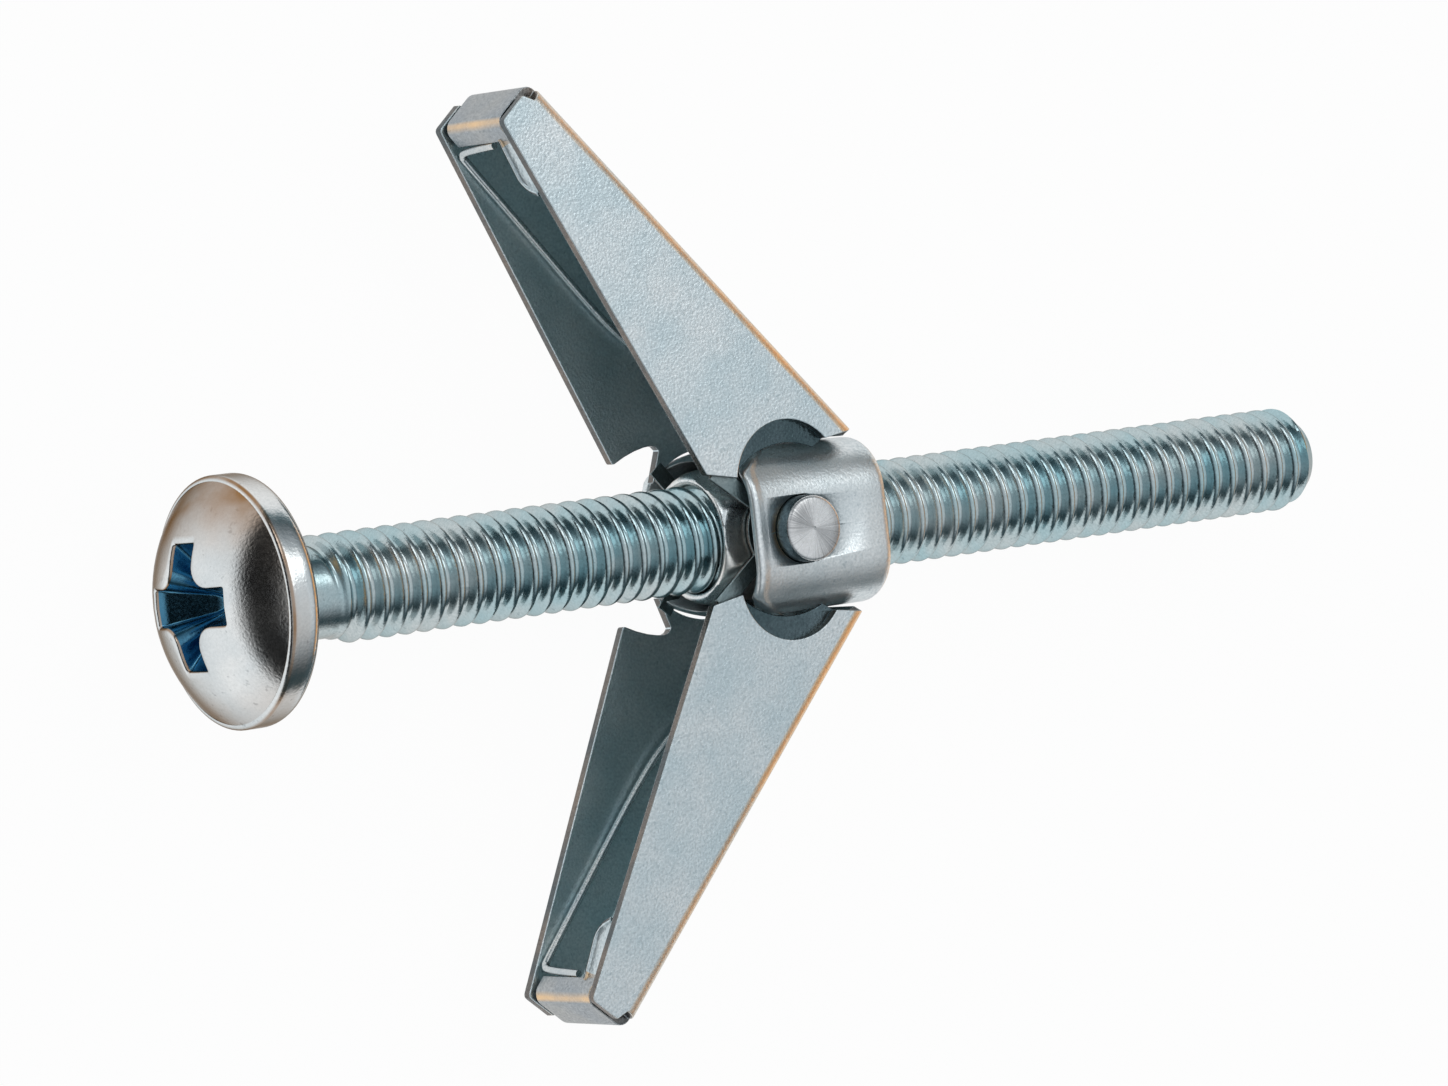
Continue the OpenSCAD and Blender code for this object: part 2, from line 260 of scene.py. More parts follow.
def zinc(name, look):
    made = bpy.data.materials.new(name)
    made.use_nodes = True
    tree = made.node_tree
    tree.nodes.clear()
    start = Wire(tree)
    place = start.node("ShaderNodeTexCoord", out=3)

    def noise(scale, detail=3.0):
        return start.node("ShaderNodeTexNoise", {}, {"Vector": place, "Scale": scale, "Detail": detail})

    cloud = noise(look["cloudScale"]).ramp(0.35, 0.65)
    grain = noise(look["grainScale"], 4.0).ramp(0.3, 0.7)
    speck = noise(look["speckScale"], 2.0).ramp(look["speckFrom"], look["speckFrom"] + 0.08)
    base = cloud.blend(look["cool"], look["warm"])
    base = (grain * look["grainShare"]).blend(base, look["dark"])
    base = (speck * look["speckShare"]).blend(base, look["dark"])
    # painted warm highlight and painted shade along folds and rims, blended into the base colour
    if "paintedLightAxis" in look:
        base = paintedEdgeLight(start, place, cloud, look).blend(base, look["paintedLightTone"])
    if "fanAt" in look:
        base = turnedLinesAndPaintedSheen(place, look).blend(base, look["dark"])
    rough = look["rough"] + (grain - 0.5) * look["roughGrain"] + (cloud - 0.5) * look["roughCloud"]
    bump = start.node("ShaderNodeBump", {}, {
        "Strength": look["bump"], "Distance": look["bumpDepth"], "Height": grain})
    shader = start.node("ShaderNodeBsdfPrincipled", {}, {
        "Base Color": base, "Metallic": 1.0, "Roughness": rough, "Normal": bump,
        "Specular Tint": (*look["edgeTint"], 1)})
    start.node("ShaderNodeOutputMaterial", {}, {"Surface": shader})
    return made


sheetLook = {
    "cool": (0.62, 0.72, 0.76), "warm": (0.76, 0.81, 0.83), "dark": (0.3, 0.39, 0.43),
    "cloudScale": 260.0, "grainScale": 6200.0, "speckScale": 2600.0, "speckFrom": 0.66,
    "grainShare": 0.45, "speckShare": 0.4, "rough": 0.34, "roughGrain": 0.14, "roughCloud": 0.06,
    # the orange tone on the next line is a painted warm highlight, used by looks that set an axis
    "bump": 0.4, "bumpDepth": 0.00003, "paintedLightTone": (0.95, 0.64, 0.34), "edgeTint": (0.8, 0.8, 0.8),
}
# painted warm highlight along the web bends, fading towards the tips
wingLook = {
    **sheetLook, "paintedLightAxis": (0.755, 0.656, 0.0), "paintedLightSpan": (0.03, 0.2, 0.74, 0.97), "paintedLightShare": 1.0,
    "paintedLightFade": (30 * mm, 10 * mm), "mirrored": True,
}
# painted warm highlight along the cap's lip fold
capLook = {
    **sheetLook, "cool": (0.4, 0.44, 0.47), "warm": (0.52, 0.53, 0.52), "dark": (0.16, 0.18, 0.2),
    "paintedLightAxis": (-0.755, -0.656, 0.0), "paintedLightSpan": (0.3, 0.55, 0.7, 0.95), "paintedLightShare": 1.0, "mirrored": True,
}
# painted warm highlight round the band's rear rim
bandLook = {
    **sheetLook, "cool": (0.76, 0.82, 0.84), "warm": (0.86, 0.89, 0.9),
    "rough": 0.36, "grainShare": 0.38, "bump": 0.25,
    "paintedLightAxis": (1.0, 0.0, 0.0), "paintedLightSpan": (0.35, 0.6, 0.8, 1.0), "paintedLightShare": 0.7, "mirrored": False,
}
# painted light: a lighter, tealer copy of the sheet zinc for the inner faces, standing in for how the inside of the
# channel is lit
insidePaintedLightLook = {
    **sheetLook, "cool": (0.72, 0.86, 0.89), "warm": (0.8, 0.89, 0.9), "dark": (0.3, 0.42, 0.45), "rough": 0.4,
}
shadeLook = {
    **sheetLook, "cool": (0.22, 0.3, 0.32), "warm": (0.3, 0.36, 0.37), "dark": (0.1, 0.14, 0.15), "rough": 0.36,
}
# cut edges painted dark: a painted dark reflection along each edge
paintedEdgeReflectionLook = {
    **sheetLook, "cool": (0.12, 0.14, 0.15), "warm": (0.26, 0.22, 0.19), "dark": (0.05, 0.05, 0.05), "rough": 0.26,
}
# painted shade: near-black teal for the sunk lugs and the trunnions' sides, which lie in shade
paintedDeepShadeLook = {
    **sheetLook, "cool": (0.06, 0.1, 0.11), "warm": (0.13, 0.18, 0.2), "dark": (0.02, 0.03, 0.04), "rough": 0.18,
}
threadLook = {
    **sheetLook, "cool": (0.4, 0.56, 0.6), "warm": (0.56, 0.62, 0.63), "dark": (0.18, 0.25, 0.27),
    "rough": 0.19, "roughGrain": 0.08, "grainShare": 0.25, "bump": 0.12, "edgeTint": (0.6, 0.58, 0.56),
}
# painted brown shade round the dome's edge, where the surface leans away from the dome's centre
headLook = {
    **sheetLook, "cool": (0.68, 0.73, 0.75), "warm": (0.82, 0.84, 0.84), "dark": (0.3, 0.33, 0.35),
    "rough": 0.17, "roughGrain": 0.06, "grainShare": 0.15, "speckShare": 0.45, "bump": 0.12,
    "paintedLightAxis": (1.0, 0.17, -0.15), "paintedLightSpan": (-0.95, -0.68, -0.4, -0.1), "paintedLightShare": 1.0, "mirrored": False,
    "paintedLightTone": (0.3, 0.17, 0.08), "edgeTint": (0.3, 0.24, 0.19),
}
# painted shade and reflection: dark navy inside the cross recess
recessPaintedShadeLook = {
    **sheetLook, "cool": (0.05, 0.18, 0.31), "warm": (0.12, 0.33, 0.48), "dark": (0.02, 0.06, 0.11),
    "rough": 0.16, "grainShare": 0.12, "speckShare": 0.1, "bump": 0.08,
}
wireLook = {
    **sheetLook, "cool": (0.56, 0.6, 0.62), "warm": (0.7, 0.7, 0.68), "rough": 0.24, "bump": 0.15,
}
# the turned end faces carry a painted sheen in light and dark sectors
pinLook = {
    **sheetLook, "cool": (0.76, 0.78, 0.79), "warm": (0.84, 0.85, 0.86), "dark": (0.16, 0.17, 0.18),
    "rough": 0.3, "speckShare": 0.1, "grainShare": 0.15, "bump": 0.1,
    "fanAt": (hingeX * mm, 0.0), "paintedSheenTurn": 1.2, "fanLines": 14.0, "fanShare": 0.9,
}
nutLook = {
    **threadLook, "cool": (0.8, 0.85, 0.87), "warm": (0.92, 0.9, 0.86), "rough": 0.3,
}

wingZinc = zinc("wingZinc", wingLook)
capZinc = zinc("capZinc", capLook)
bandZinc = zinc("bandZinc", bandLook)
insidePaintedLightZinc = zinc("insidePaintedLightZinc", insidePaintedLightLook)
shadeZinc = zinc("shadeZinc", shadeLook)
paintedEdgeReflectionZinc = zinc("paintedEdgeReflectionZinc", paintedEdgeReflectionLook)
paintedDeepShadeZinc = zinc("paintedDeepShadeZinc", paintedDeepShadeLook)
threadZinc = zinc("threadZinc", threadLook)
headZinc = zinc("headZinc", headLook)
recessPaintedShadeZinc = zinc("recessPaintedShadeZinc", recessPaintedShadeLook)
springWire = zinc("springWire", wireLook)
pinZinc = zinc("pinZinc", pinLook)
nutZinc = zinc("nutZinc", nutLook)
print("finishes made")

# Machine screw
screw = {
    "threadR": 3.175, "pitch": 1.27, "threadDepth": 0.72, "crestFlat": 0.05, "flank": 0.38, "stepsPerPitch": 12,
    "neckR": 2.755, "neckFrom": 0.25, "neckLength": 3.5, "fadeTurns": 0.8, "neckSlant": 0.7,
    "tipChamfer": 1.1, "tipR": 2.325, "tipCup": 0.2,
    "rootFillet": [(0.07, 0.06), (0, 0.24)], "seatR": 5.0,
    "rimR": 7.2, "rimH": 2.1, "edgeR": 0.35, "backEdge": 0.7, "domeH": 2.75, "domeFull": 2.5,
    "recessHalf": 3.55, "recessArm": 1.05, "recessCorner": 1.3, "recessEdge": 0.16, "lip": 0.18,
    "recessDepth": 3.0, "footHalf": 1.05, "footArm": 0.5, "footCorner": 0.3, "footEdge": 0.1,
    "pointDepth": 0.7, "pointShare": 0.1,
}
headTop = -screw["rimH"] - screw["domeH"]
domeBase = screw["rimR"] - screw["edgeR"]


def domeX(r):
    return headTop + screw["domeH"] * (r / domeBase) ** screw["domeFull"]


def crossOutline(half, arm, corner, edge):
    # a quarter of the cross from one arm's end to the next, turned four times
    inner = arm + corner
    side = [(mix(half - edge, inner, i / 4), arm) for i in (1, 2, 3)]
    quarter = [(half, 0)]
    quarter += arc(half - edge, arm - edge, edge, 0, 90, 4)
    quarter += side
    quarter += arc(inner, inner, corner, 270, 180, 8)
    quarter += [(y, x) for x, y in reversed(side)]
    quarter += [(y, x) for x, y in reversed(arc(half - edge, arm - edge, edge, 0, 90, 4))]
    points = []
    for turn in range(4):
        c, s = round(math.cos(turn * math.pi / 2)), round(math.sin(turn * math.pi / 2))
        points += [(x * c - y * s, x * s + y * c) for x, y in quarter]
    return points


def threadHeight(away):
    # 1 on the crest, 0 in the root; away is the distance from the crest in pitches
    t = min(1, max(0, (away - screw["crestFlat"]) / screw["flank"]))
    return 1 - (t - 0.55 * math.sin(2 * math.pi * t) / (2 * math.pi))


def threadedShank(solid):
    start, end = screw["neckFrom"], screwHigh.x
    pitch, steps = screw["pitch"], screw["stepsPerPitch"]
    root = screw["threadR"] - screw["threadDepth"]
    rows = math.ceil(steps * ((end - start) / pitch + 1)) + 1
    slope = (screw["threadR"] - screw["tipR"]) / screw["tipChamfer"]
    base = len(solid.verts)
    for i in range(rows):
        phase = (i % steps) / steps
        crest = root + screw["threadDepth"] * threadHeight(min(phase, 1 - phase))
        for j in range(ringCount):
            x = start + pitch * (i / steps - 1 + j / ringCount)
            x = min(end, max(start, x))
            a = 2 * math.pi * j / ringCount
            neckEnd = start + screw["neckLength"] - screw["neckSlant"] * math.cos(a)
            fade = smooth((x - neckEnd) / (screw["fadeTurns"] * pitch))
            r = mix(screw["neckR"], crest, fade)
            r = min(r, screw["tipR"] + (end - x) * slope)
            solid.verts.append((x, r * math.cos(a), r * math.sin(a)))
    for i in range(rows - 1):
        for j in range(ringCount):
            wrap = j == ringCount - 1
            near = base + min(i + steps, rows - 1) * ringCount if wrap else base + i * ringCount + j + 1
            far = base + min(i + 1 + steps, rows - 1) * ringCount if wrap else base + (i + 1) * ringCount + j + 1
            corners = (base + i * ringCount + j, near, far, base + (i + 1) * ringCount + j)
            if len(set(corners)) == 4:
                solid.faces.append(corners)
    solid.loft([circleRing(end, screw["tipR"]), circleRing(end, screw["tipR"] * 0.86),
                circleRing(end - screw["tipCup"], screw["tipR"] * 0.5)], capLast=True)


def mushroomHead(solid):
    neckR, edge, lip = screw["neckR"], screw["edgeR"], screw["lip"]
    soft, rimR, rimH = screw["backEdge"], screw["rimR"], screw["rimH"]
    rings = [circleRing(screw["neckFrom"], neckR)]
    rings += [circleRing(x, neckR + wider) for x, wider in screw["rootFillet"]]
    rings += [circleRing(0, screw["seatR"])]
    rings += [circleRing(x - soft, r) for x, r in arc(0, rimR - soft, soft, 0, 84, 8)]
    rings += [circleRing(mix(-soft, -rimH + edge, t), rimR) for t in (0.25, 0.5, 0.75)]
    rings += [circleRing(x - rimH + edge, r) for x, r in arc(0, domeBase, edge, 90, 165, 8)]
    rings += [circleRing(domeX(r), r) for r in (domeBase + 0.02, domeBase - 0.05)]
    # the dome, from its edge to the mouth of the recess
    top = crossOutline(screw["recessHalf"] + lip, screw["recessArm"] + lip,
                       screw["recessCorner"] - lip * 0.5, screw["recessEdge"] + lip * 0.5)
    for k in range(1, 11):
        t = k / 10
        ring = []
        for j, (y, z) in enumerate(top):
            a = 2 * math.pi * j / ringCount
            y, z = mix(domeBase * math.cos(a), y, t), mix(domeBase * math.sin(a), z, t)
            ring.append((domeX(math.hypot(y, z)), y, z))
        rings.append(ring)
    solid.loft(rings)
    # walls of the recess, with a rolled lip at the top
    mouth = crossOutline(screw["recessHalf"], screw["recessArm"], screw["recessCorner"], screw["recessEdge"])
    foot = crossOutline(screw["footHalf"], screw["footArm"], screw["footCorner"], screw["footEdge"])
    floorX = headTop + screw["recessDepth"]
    walls = []
    for lift in (0, 30, 60, 90):
        s, c = math.sin(math.radians(lift)), math.cos(math.radians(lift))
        ring = []
        for (ty, tz), (my, mz) in zip(top, mouth):
            y, z = mix(ty, my, s), mix(tz, mz, s)
            ring.append((domeX(math.hypot(ty, tz)) + lip * (1 - c), y, z))
        walls.append(ring)
    rim, point = walls[-1], screw["pointShare"]
    for t in (0.2, 0.45, 0.7, 1):
        walls.append([(mix(p[0], floorX, t), mix(p[1], f[0], t), mix(p[2], f[1], t)) for p, f in zip(rim, foot)])
    walls.append([(floorX + screw["pointDepth"], y * point, z * point) for y, z in foot])
    solid.loft(walls, capLast=True)


shank = Solid()
threadedShank(shank)
mushroomHead(shank)
machineScrew = shank.piece("machineScrew", [threadZinc, headZinc, recessPaintedShadeZinc], sharp=48)
for p in machineScrew.data.polygons:
    centre = p.center / mm
    away = math.hypot(centre.y, centre.z)
    if centre.x < screw["neckFrom"]:
        # faces inside the recess take the painted shade
        inRecess = away < screw["recessHalf"] and centre.x > domeX(away) + 0.2 and centre.x < -1e-3
        p.material_index = 2 if inRecess else 1
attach(machineScrew, "screw")
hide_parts("machine_screw")
print("screw:", len(machineScrew.data.polygons), "faces")

# Trunnion nut
nut = {
    "flats": 7.1, "cornerCut": 0.12, "front": 4.2, "collar": 1.3, "faceR": 3.55, "back": 2.6, "backEdge": 0.3,
    "boreR": 3.2, "boreDepth": 1.2, "mouthR": 3.3, "mouth": (0.05, 0.2), "points": 96,
    "pinR": 1.95, "pinEdge": 0.25, "pinExtra": 0.25, "dimple": 0.1,
}
pinTop = nutHigh.z + nut["pinExtra"]


def hexRing(x, cap):
    # hexagon with its flats towards the wings' ears, turned down to a radius
    ring = []
    for j in range(nut["points"]):
        a = 2 * math.pi * j / nut["points"]
        part = (a + math.pi / 6) % (math.pi / 3) - math.pi / 6
        r = min(nut["flats"] / 2 / math.cos(abs(part) - math.pi / 6), cap)
        ring.append((x, r * math.cos(a), r * math.sin(a)))
    return ring


def pinRings(side, base, top):
    # a trunnion along the hinge axis, turned, with a chamfer and a small centre mark
    steps = [(nut["pinR"], base), (nut["pinR"], top - nut["pinEdge"]), (nut["pinR"] - 0.04, top - 0.14),
             (nut["pinR"] - 0.12, top - 0.05), (nut["pinR"] - nut["pinEdge"], top), (1.2, top - 0.01),
             (nut["dimple"], top - 0.02), (nut["dimple"] * 0.4, top - 0.09)]
    rings = []
    for r, z in steps:
        ring = [(hingeX + x, y) for x, y in arc(0, 0, r, 0, 354, 59)]
        rings.append([(x, y, side * z) for x, y in ring])
    return rings


body = Solid()
front, count = hingeX - nut["front"], nut["points"]
back = hingeX + nut["back"]
corner = nut["flats"] / 2 / math.cos(math.pi / 6) - nut["cornerCut"]
bore = circleRing(front + nut["boreDepth"], nut["boreR"], count)
rings = [bore, circleRing(front + nut["mouth"][1], nut["boreR"], count),
         circleRing(front + nut["mouth"][0], nut["mouthR"], count)]
for lift in range(0, 91, 10):
    t = math.radians(lift)
    cap = mix(nut["faceR"] - 0.1, corner, math.sin(t))
    rings.append(hexRing(front + nut["collar"] * (1 - math.cos(t)), cap))
rings += [hexRing(hingeX - 2, corner), hexRing(back - nut["backEdge"], corner), hexRing(back, nut["faceR"])]
rings += [circleRing(back, nut["boreR"] + 0.05, count), bore]
body.loft(rings)
for side in (-1, 1):
    body.loft(pinRings(side, nut["flats"] / 2 - 0.1, pinTop), capFirst=True, capLast=True)
trunnionNut = body.piece("trunnionNut", [nutZinc, pinZinc, paintedDeepShadeZinc], sharp=40)
for p in trunnionNut.data.polygons:
    level = abs(p.center.z) / mm
    if level > pinTop - 0.12:
        p.material_index = 1  # turned end faces
    elif level > nut["flats"] / 2 + 0.3:
        p.material_index = 2  # shaded sides of the pins
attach(trunnionNut, "hub")
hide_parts("trunnion_nut")
print("nut:", len(trunnionNut.data.polygons), "faces")

# Hub band
band = {
    "wall": 0.6, "corner": 3.2, "frontR": 5.0, "front": 3.45, "edge": 0.22, "flare": 0.12, "flareLength": 0.7,
    "backBend": 0.7, "holeR": 3.53, "holeLip": (0.12, 0.1), "points": 120, "pinHole": 2.02, "drillHalf": 9,
}


def bandRing(inset, x=None, back=0):
    # rounded square across the screw; with no x the ring follows the rounded front edge
    halfY, halfZ = bandHigh.y - inset, bandHigh.z - inset
    r = max(0.3, band["corner"] - inset)
    ring = []
    perSide = band["points"] // 8
    for quarter in range(4):
        sy, sz = ((1, 1), (-1, 1), (-1, -1), (1, -1))[quarter]
        turn = arc(0, 0, 1, 0, 90, perSide - 1)
        if quarter % 2:
            turn = turn[::-1]
        ring += [(sy * (halfY - r + r * c), sz * (halfZ - r + r * s)) for c, s in turn]
        ends = ring[-1]
        across = 2 * (halfY - r) if quarter % 2 == 0 else 2 * (halfZ - r)
        for i in range(1, perSide + 1):
            t = i / (perSide + 1)
            step = (-sy * across * t, 0) if quarter % 2 == 0 else (0, -sz * across * t)
            ring.append((ends[0] + step[0], ends[1] + step[1]))
    if x is not None:
        return [(x, y, z) for y, z in ring]
    shaped = []
    for y, z in ring:
        ahead = math.sqrt(max(0, band["frontR"] ** 2 - min(abs(y), band["frontR"]) ** 2))
        shaped.append((hingeX - min(band["front"], ahead) + back, y, z))
    return shaped


def holeRing(x, r):
    section = bandRing(0, x)
    return [(x, r * y / math.hypot(y, z), r * z / math.hypot(y, z)) for x, y, z in section]


sleeve = Solid()
end, wall, edge, bend = bandHigh.x, band["wall"], band["edge"], band["backBend"]
rings = []
for lift in (180, 150, 120, 90, 60, 30, 0):
    s, c = math.sin(math.radians(lift)), math.cos(math.radians(lift))
    rings.append(bandRing(wall / 2 - wall / 2 * c - band["flare"], back=edge * (1 - s)))
for t in (0.35, 0.7, 1):
    rings.append(bandRing(-band["flare"] * (1 - smooth(t)), back=edge + band["flareLength"] * t))
rings.append(bandRing(0, hingeX + 0.6))
rings.append(bandRing(0, end - bend - 1))
for lift in range(0, 91, 15):
    s, c = math.sin(math.radians(lift)), math.cos(math.radians(lift))
    rings.append(bandRing(bend * (1 - c), end - bend + bend * s))
lipR, lipX = band["holeLip"]
rings += [holeRing(end, band["holeR"] + lipR), holeRing(end - lipX, band["holeR"]),
          holeRing(end - wall, band["holeR"])]
rings += [bandRing(wall + 0.2, end - wall), bandRing(wall, end - wall - 0.2), bandRing(wall, hingeX + 0.6)]
rings.append(rings[0])
sleeve.loft(rings)
hubBand = sleeve.piece("hubBand", [bandZinc], sharp=50)
pinHoles = Solid()
pinCircle = arc(0, 0, band["pinHole"], 0, 355, 71)
pinHoles.loft([[(hingeX + x, y, side * band["drillHalf"]) for x, y in pinCircle] for side in (-1, 1)],
              capFirst=True, capLast=True)
drill(hubBand, [pinHoles.piece("pinHoles", [bandZinc])])
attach(hubBand, "hub")
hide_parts("hub_band")
print("band:", len(hubBand.data.polygons), "faces")

# Wings: one sheet pressing, folded to a channel, then used twice
wing = {
    "sheet": 0.6, "reach": 7.27, "length": 30.0, "tipDepth": 3.3, "tipHalf": 3.6, "hubHalf": 4.6, "taperFrom": 6.0,
    "bend": 0.9, "lip": 1.5, "capBend": 0.75, "corner": 0.35, "edgeRound": 0.13, "shift": 0.35,
    "lobe": (6.74, -1.96), "lobeEnd": (5.06, -0.64), "lobeRound": 0.2, "hornEnd": (2.04, 5.35), "webStart": 0.83,
    "notch": (2.22, 1.69), "notchR": 3.67, "backLobe": (7.9, -1.84),
    "backNotch": [(6.04, 1.11), (6.35, 1.1), (6.62, 0.95), (6.95, 0.5), (7.3, -0.13), (7.62, -0.9)],
    "earSheet": 0.25, "earRound": 0.06, "eyeR": 2.7, "pinHole": 2.02,
    "armHalf": 0.5, "armFront": (-12, 6.5), "armBack": (2, 5.5),
    "clearR": 5.07, "lugLevel": 4.15, "lugSheet": 0.2, "lugRound": 0.05, "lugOver": 0.35,
    "tabFrom": 25.2, "tabTo": 28.7, "tabReach": 1.5, "tabInset": 0.25, "tabSheet": 0.35, "tabRound": 0.1,
    "tabLift": 0.6, "tabCurl": 0.55, "tabDrop": 0.25,
}


def halfWidth(u):
    taper = (wing["hubHalf"] - wing["tipHalf"]) / (wing["length"] - wing["taperFrom"])
    return wing["hubHalf"] - (u - wing["taperFrom"]) * taper


def placeWing(point, side):
    u, v, z = point
    c, s = math.cos(webAngle), math.sin(webAngle)
    return (hingeX + u * c + v * s, side * (u * s - v * c), side * (z + wing["shift"]))


def rounded(points, radius, steps=4):
    # rounds each corner of a polyline that has a radius
    made = []
    for i, p in enumerate(points):
        if radius[i] == 0:
            made.append(p)
            continue
        before, after = Vector(points[i - 1]), Vector(points[(i + 1) % len(points)])
        here = Vector(p)
        one, two = (before - here).normalized(), (after - here).normalized()
        half = one.angle(two) / 2
        reach = radius[i] / math.tan(half)
        a, b = here + one * reach, here + two * reach
        for k in range(steps + 1):
            t = k / steps
            q = a * (1 - t) ** 2 + here * 2 * t * (1 - t) + b * t ** 2
            made.append((q.x, q.y))
    return made


def flangeOutline(back):
    lobe, horn, lobeEnd = wing["lobe"], wing["hornEnd"], wing["lobeEnd"]
    if back:
        lobe, lobeEnd = wing["backLobe"], wing["backNotch"][-1]
    tipX, openY, bendY = wing["length"], wing["reach"] - wing["tipDepth"], wing["reach"] - wing["bend"]
    lean = (horn[0] - wing["webStart"]) / (wing["reach"] - horn[1])
    webFoot = (wing["webStart"] + lean * wing["bend"], bendY)
    cx, cy = wing["notch"]
    startA = math.degrees(math.atan2(horn[1] - cy, horn[0] - cx))
    endA = math.degrees(math.atan2(lobeEnd[1] - cy, lobeEnd[0] - cx))
    notch = arc(cx, cy, wing["notchR"], startA, endA, 32)
    if back:
        notch = [horn] + arc(0, 0, wing["clearR"], 62, -7, 24) + wing["backNotch"]
    corners = [lobeEnd, lobe, (tipX, openY), (tipX, bendY)]
    edge = rounded(corners, [0, wing["lobeRound"], wing["corner"], 0])[1:-1]
    tipEnd = tipX - wing["capBend"]
    return edge + [(tipX, bendY - 0.35), (tipEnd, bendY), webFoot] + notch


def earHalves(back):
    # the eye round the trunnion as two half rings, each with half of the arm
    a0, reach = wing["armBack" if back else "armFront"]
    half = wing["armHalf"]
    along = Vector((math.cos(math.radians(a0)), math.sin(math.radians(a0))))
    across = Vector((-along.y, along.x))
    up, mid, low = [tuple(along * reach + across * k) for k in (half, 0, -half)]
    lift = math.degrees(math.asin(half / wing["eyeR"]))
    outerUp = arc(0, 0, wing["eyeR"], a0 + lift, a0 + 180, 20)
    outerLow = arc(0, 0, wing["eyeR"], a0 + 180, a0 + 360 - lift, 20)
    holeUp = arc(0, 0, wing["pinHole"], a0 + 180, a0, 20)
    holeLow = arc(0, 0, wing["pinHole"], a0 + 360, a0 + 180, 20)
    return [[up] + outerUp + holeUp + [mid], [mid] + holeLow + outerLow + [low]]


def earSkin(solid, side):
    level = wing["hubHalf"] - wing["sheet"] + wing["earSheet"]
    for z in (1, -1):
        for half in earHalves(z != side):
            solid.face([placeWing((u, v, z * level), side) for u, v in half])


def lugSkin(solid, side):
    # sunk crescent between the front notch and the band
    cx, cy = wing["notch"]
    outer = arc(cx, cy, wing["notchR"] + wing["lugOver"], 95, -35, 24)
    inner = arc(0, 0, wing["clearR"], -5, 66, 24)
    solid.face([placeWing((u, v, side * wing["lugLevel"]), side) for u, v in outer + inner])


def tabSkin(solid, side):
    # leaf folded in from the front flange near the tip, curled towards the web and round at its lower end
    lobe, openY = wing["lobe"], wing["reach"] - wing["tipDepth"]
    slope = (openY - lobe[1]) / (wing["length"] - lobe[0])
    across, down = 6, 14
    grid = []
    for i in range(down + 1):
        t = i / down
        u = mix(wing["tabTo"], wing["tabFrom"], t)
        edge = openY - slope * (wing["length"] - u) + wing["tabInset"]
        full = wing["tabReach"] * math.sqrt(max(0.04, 1 - max(0, (t - 0.65) / 0.35) ** 2))
        row = []
        for k in range(across + 1):
            a = math.radians(90 * k / across)
            inward, curl = full * math.sin(a), wing["tabCurl"] * (1 - math.cos(a))
            level = halfWidth(u) - wing["sheet"] + 0.05 - inward
            row.append(placeWing((u, edge + wing["tabLift"] - curl - wing["tabDrop"] * t, side * level), side))
        grid.append(row)
    for a, b in zip(grid, grid[1:]):
        for k in range(across):
            solid.face([a[k], b[k], b[k + 1], a[k + 1]])


def wingSkin(solid, side):
    bendY, reach, r = wing["reach"] - wing["bend"], wing["reach"], wing["bend"]
    tipEnd = wing["length"] - wing["capBend"]
    for z in (1, -1):
        solid.face([placeWing((u, v, z * halfWidth(u)), side) for u, v in flangeOutline(z != side)])
    # bends and web, from the horn's slanted start to the tip
    lean = (wing["hornEnd"][0] - wing["webStart"]) / (reach - wing["hornEnd"][1])
    steps = 6
    for z in (1, -1):
        strips = []
        for k in range(steps + 1):
            a = math.radians(90 * k / steps)
            v = bendY + r * math.sin(a)
            drop = r * (1 - math.cos(a))
            uFrom = wing["webStart"] + lean * (reach - v)
            strips.append([placeWing((u, v, z * (halfWidth(u) - drop)), side) for u in (uFrom, tipEnd)])
        for a, b in zip(strips, strips[1:]):
            solid.face([a[0], a[1], b[1], b[0]])
    halfA, halfB = halfWidth(wing["webStart"]) - r, halfWidth(tipEnd) - r
    web = [(wing["webStart"], -halfA), (tipEnd, -halfB), (tipEnd, halfB), (wing["webStart"], halfA)]
    solid.face([placeWing((u, reach, z), side) for u, z in web])
    # cap over the tip and its lip, folded from the web
    q, openY, tip = wing["capBend"], reach - wing["tipDepth"], wing["length"]
    fold = arc(tip - q, reach - q, q, 90, 0, 6)
    fold += arc(tip - q, openY + q, q, 0, -90, 6)
    fold += [(tip - wing["lip"], openY)]
    capLine = [[placeWing((u, v, z * halfB), side) for z in (-1, 1)] for u, v in fold]
    for a, b in zip(capLine, capLine[1:]):
        solid.face([a[0], b[0], b[1], a[1]])


def pressed(name, side, skin, sheet, edgeRound, offset, outer, inner):
    # gives a skin its sheet thickness and rounded cut edges
    solid = Solid()
    skin(solid, side)
    made = solid.piece(name, [outer, inner, paintedEdgeReflectionZinc], sharp=180, weld=2e-3)
    thick = made.modifiers.new("sheet", "SOLIDIFY")
    thick.thickness = sheet * mm
    thick.offset = offset
    thick.use_even_offset = True
    thick.material_offset = 1
    # the cut edges take the painted dark reflection
    thick.material_offset_rim = 2
    soften = made.modifiers.new("edges", "BEVEL")
    soften.width = edgeRound * mm
    soften.segments = 3
    soften.material = 0
    soften.limit_method = "ANGLE"
    soften.angle_limit = math.radians(50)
    made.modifiers.new("flats", "WEIGHTED_NORMAL")
    settle(made)
    return made


